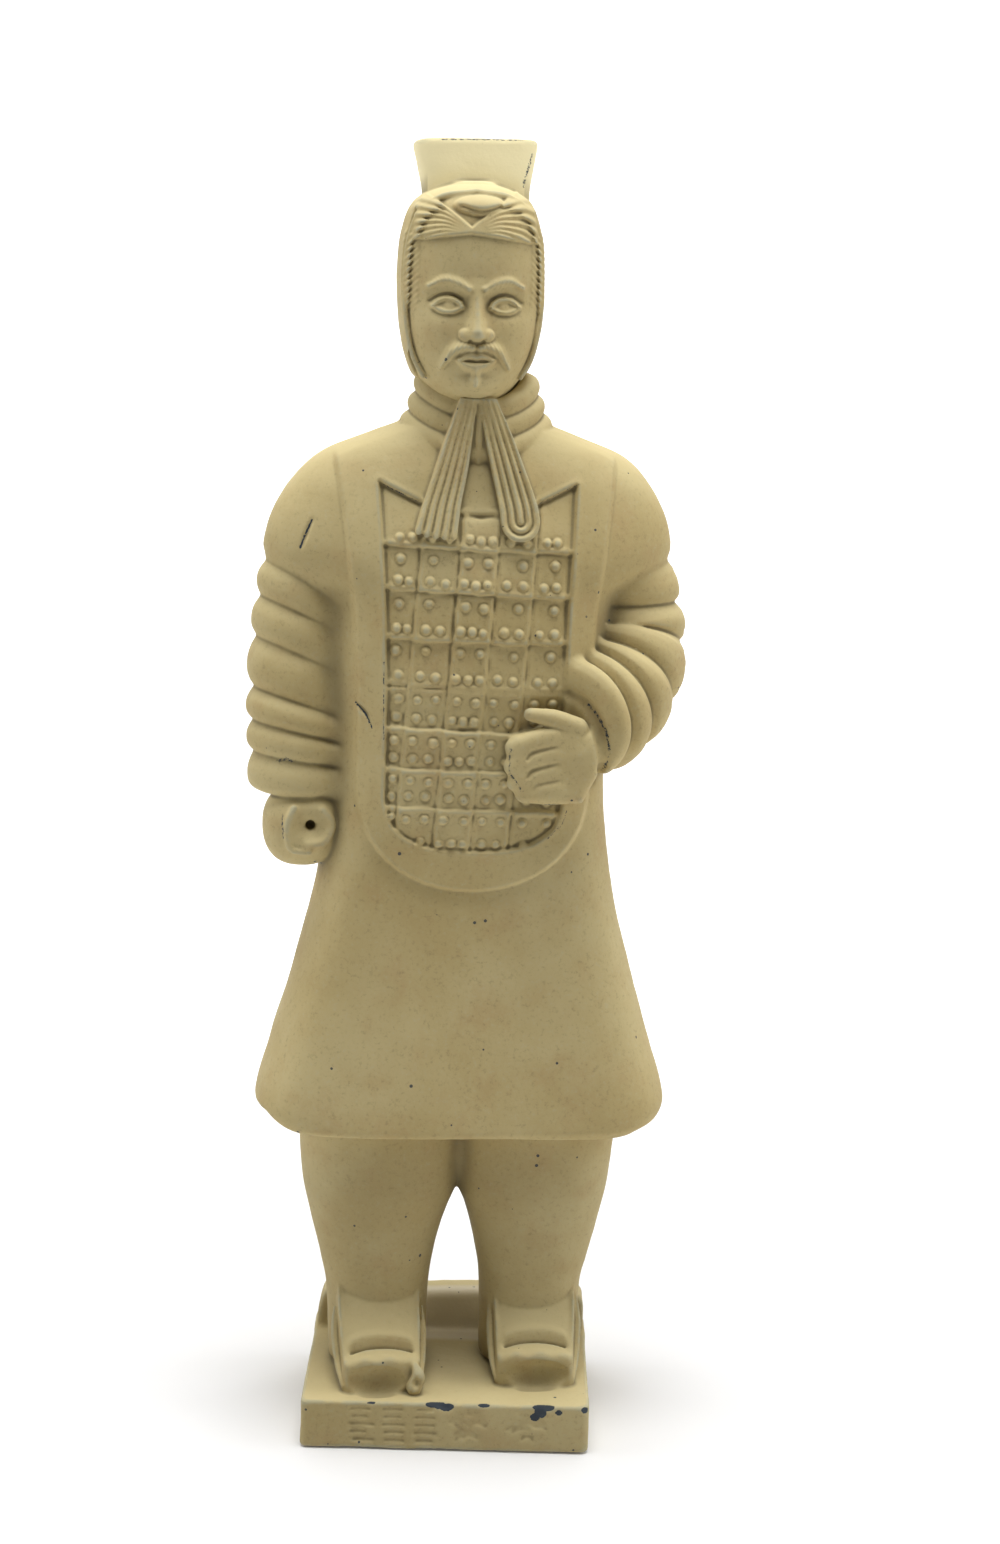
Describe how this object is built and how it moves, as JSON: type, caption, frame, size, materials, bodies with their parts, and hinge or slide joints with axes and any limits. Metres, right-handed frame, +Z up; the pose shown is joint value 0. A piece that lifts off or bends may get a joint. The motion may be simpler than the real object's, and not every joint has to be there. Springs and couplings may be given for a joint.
{
  "type": "warrior statuette",
  "caption": "souvenir statuette of a standing armoured officer in a long robe with a scarf and flat cap, one hand on the belly and one hanging, moulded in one piece with its low plinth",
  "frame": {"origin": "centre of the plinth's underside", "axes": "+Z up from plinth to cap, -Y the way the figure faces, +X towards the figure's left hand side"},
  "size_m": [0.1025, 0.056, 0.3],
  "materials": {
    "slip_coated_clay": "matt buff slip over dark grey fired clay, worn and chipped at the edges"
  },
  "bodies": {
    "root": {"warrior_on_plinth": "slip_coated_clay"}
  },
  "joints": []
}
